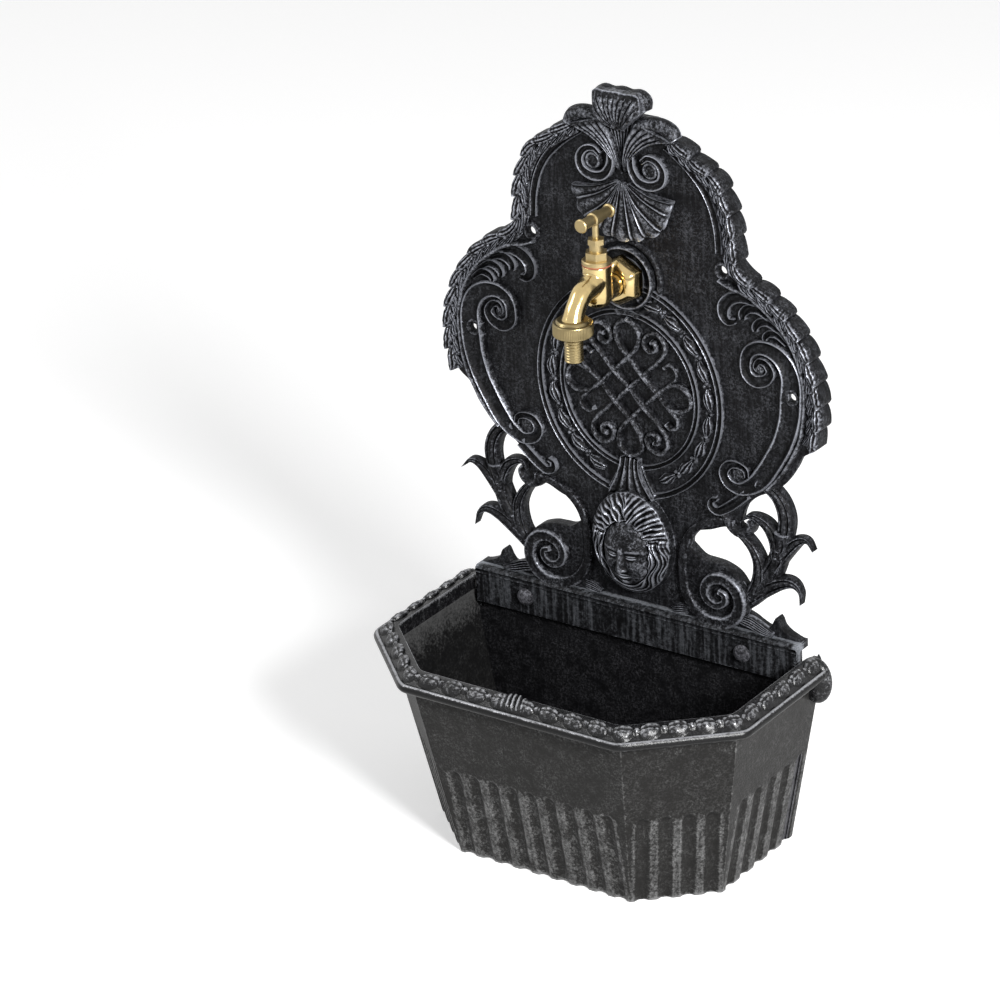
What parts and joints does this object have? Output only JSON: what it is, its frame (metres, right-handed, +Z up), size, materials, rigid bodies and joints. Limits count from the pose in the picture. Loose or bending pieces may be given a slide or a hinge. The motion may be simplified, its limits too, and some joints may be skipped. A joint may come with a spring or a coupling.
{
  "type": "garden wall fountain",
  "caption": "Ornamental cast back plate with a fluted wall basin bolted to it and a brass T-handle tap with a hose union; stands on its basin or screws to a wall.",
  "frame": {"origin": "middle of the basin's back edge at its underside: the wall plane is Y = 0 and the basin's underside is Z = 0", "axes": "+Z up, -Y the front that faces the user, +Y into the wall, +X to the right of a user who faces the fountain"},
  "size_m": [0.352, 0.212, 0.6104],
  "materials": {
    "plate_paint": "black paint over a sandy casting, raised relief dry-brushed silver grey",
    "basin_paint": "matt black paint over a sandy casting, rim dry-brushed silver grey",
    "bolt_paint": "black paint, worn to grey on the domes",
    "zinc_steel": "bright zinc plating",
    "polished_brass": "polished and lacquered brass",
    "satin_brass": "satin turned brass, knurled or ribbed",
    "fibre": "red-brown fibre",
    "rubber": "black rubber"
  },
  "bodies": {
    "fountain": {"back_plate": "plate_paint", "basin": "basin_paint", "basin_bolts": "bolt_paint", "basin_bolt_washers": "zinc_steel", "basin_bolt_nuts": "zinc_steel", "tap_front_washer": "fibre", "tap_wall_nut": "polished_brass", "tap_back_washer": "satin_brass", "tap_back_nut": "satin_brass", "tap_body": "polished_brass", "bonnet_gasket": "fibre", "bonnet": "polished_brass", "gland_packing": "rubber", "gland_nut": "polished_brass"},
    "valve": {"valve_jumper": "satin_brass", "jumper_washer": "rubber", "jumper_nut": "satin_brass"},
    "handle": {"spindle": "polished_brass", "handle_bar": "polished_brass", "handle_knobs": "polished_brass"},
    "tail": {"hose_tail": "satin_brass", "hose_washer": "rubber"},
    "union": {"hose_union_nut": "satin_brass"}
  },
  "joints": [
    {"name": "valve_lift", "type": "slide", "parent": "fountain", "child": "valve", "axis": [0, 0, 1], "range_m": [0, 0.0045]},
    {"name": "handle_turn", "type": "hinge", "parent": "valve", "child": "handle", "pos_m": [0, -0.0515, 0.5155], "axis": [0, 0, 1], "range_deg": [0, 540]},
    {"name": "tail_drop", "type": "slide", "parent": "fountain", "child": "tail", "axis": [0, 0, -1], "range_m": [0, 0.0082]},
    {"name": "union_turn", "type": "hinge", "parent": "tail", "child": "union", "pos_m": [0, -0.086, 0.4389], "axis": [0, 0, -1], "range_deg": [0, 1620]}
  ],
  "couplings": [
    {"joint": "valve_lift", "follows": "handle_turn", "m_per_rad": 0.0004774},
    {"joint": "tail_drop", "follows": "union_turn", "m_per_rad": 0.0002887}
  ]
}
